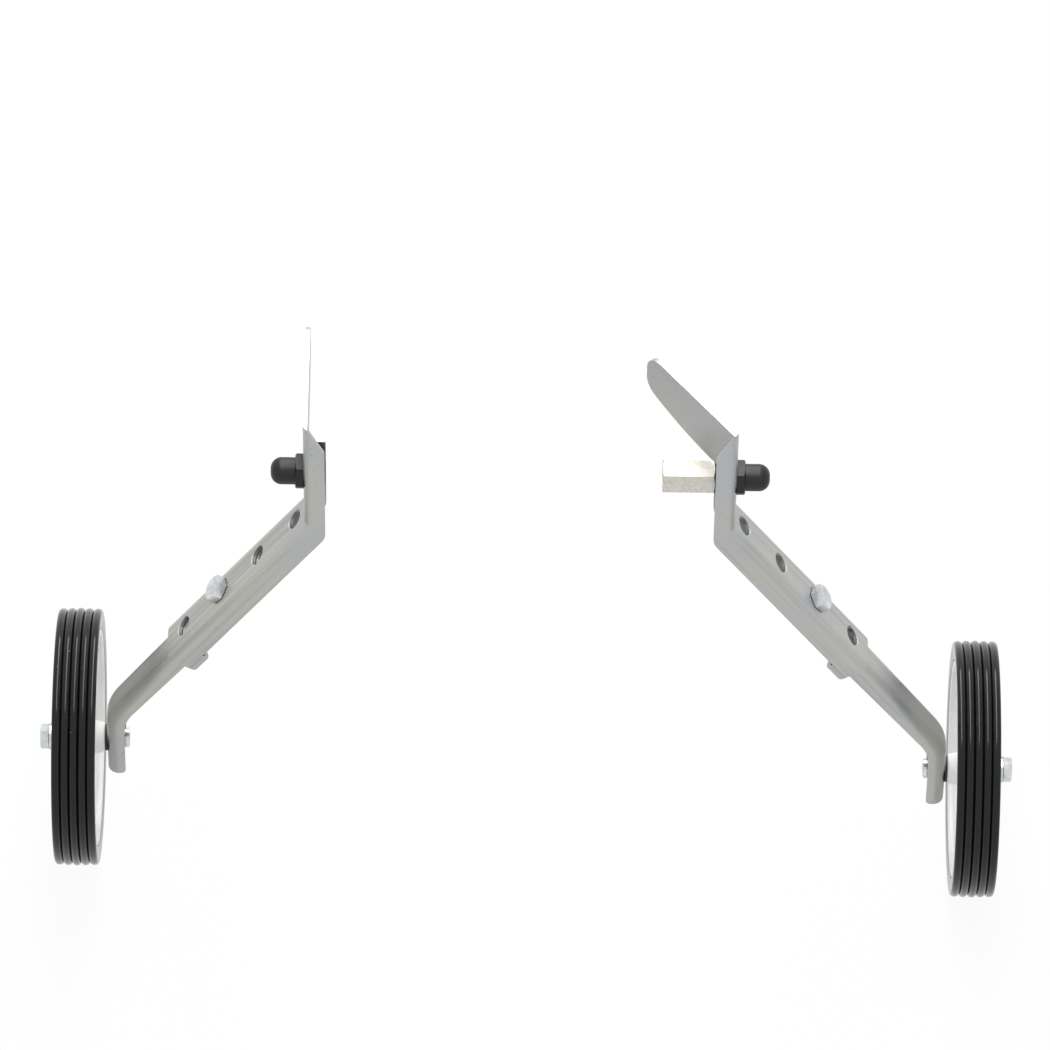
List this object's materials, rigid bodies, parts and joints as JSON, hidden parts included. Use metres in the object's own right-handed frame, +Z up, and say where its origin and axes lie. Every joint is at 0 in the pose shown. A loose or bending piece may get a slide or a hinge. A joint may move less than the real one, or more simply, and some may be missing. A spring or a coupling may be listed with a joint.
{
  "type": "bicycle training wheels",
  "caption": "Bicycle training wheels: zinc-plated channel brackets for the rear axle, lower arms that slide for height, white plastic hubs and ribbed black rubber tyres",
  "frame": {"origin": "On the axle line, midway between the two inner end faces that meet the bicycle's frame", "axes": "+X along the axle line to the right-hand unit, +Y forward, +Z up"},
  "size_m": [0.4492, 0.119, 0.3136],
  "materials": {
    "zinc_steel": "zinc-plated pressed sheet steel",
    "bright_zinc": "bright zinc-plated steel",
    "black_steel": "satin black coated steel",
    "galvanised": "dull galvanised steel",
    "tyre_rubber": "solid black rubber",
    "white_plastic": "moulded white plastic",
    "black_nylon": "black nylon"
  },
  "bodies": {
    "brackets": {"left_bracket": "zinc_steel", "left_cap_nut": "black_steel", "left_lock_nut": "black_steel", "left_height_bolt": "bright_zinc", "left_height_nut": "bright_zinc", "right_bracket": "zinc_steel", "right_cap_nut": "black_steel", "right_lock_nut": "black_steel", "right_height_bolt": "bright_zinc", "right_height_nut": "bright_zinc", "right_axle_extension": "galvanised"},
    "left_arm": {"left_lower_arm": "zinc_steel", "left_wheel_bolt": "bright_zinc", "left_outer_washer": "bright_zinc", "left_inner_washer": "black_nylon", "left_axle_sleeve": "bright_zinc", "left_wheel_nut": "bright_zinc"},
    "right_arm": {"right_lower_arm": "zinc_steel", "right_wheel_bolt": "bright_zinc", "right_outer_washer": "bright_zinc", "right_inner_washer": "black_nylon", "right_axle_sleeve": "bright_zinc", "right_wheel_nut": "bright_zinc"},
    "left_wheel": {"left_hub": "white_plastic", "left_tyre": "tyre_rubber"},
    "right_wheel": {"right_hub": "white_plastic", "right_tyre": "tyre_rubber"}
  },
  "joints": [
    {"name": "left_height", "type": "slide", "parent": "brackets", "child": "left_arm", "axis": [-0.5476, 0, -0.8368], "range_m": [-0.0185, 0.0175]},
    {"name": "right_height", "type": "slide", "parent": "brackets", "child": "right_arm", "axis": [0.5476, 0, -0.8368], "range_m": [-0.036, 0]},
    {"name": "left_wheel_spin", "type": "hinge", "parent": "left_arm", "child": "left_wheel", "pos_m": [-0.19027, 0, -0.19599], "axis": [1, 0, 0], "continuous": true},
    {"name": "right_wheel_spin", "type": "hinge", "parent": "right_arm", "child": "right_wheel", "pos_m": [0.22325, 0, -0.21063], "axis": [1, 0, 0], "continuous": true}
  ]
}
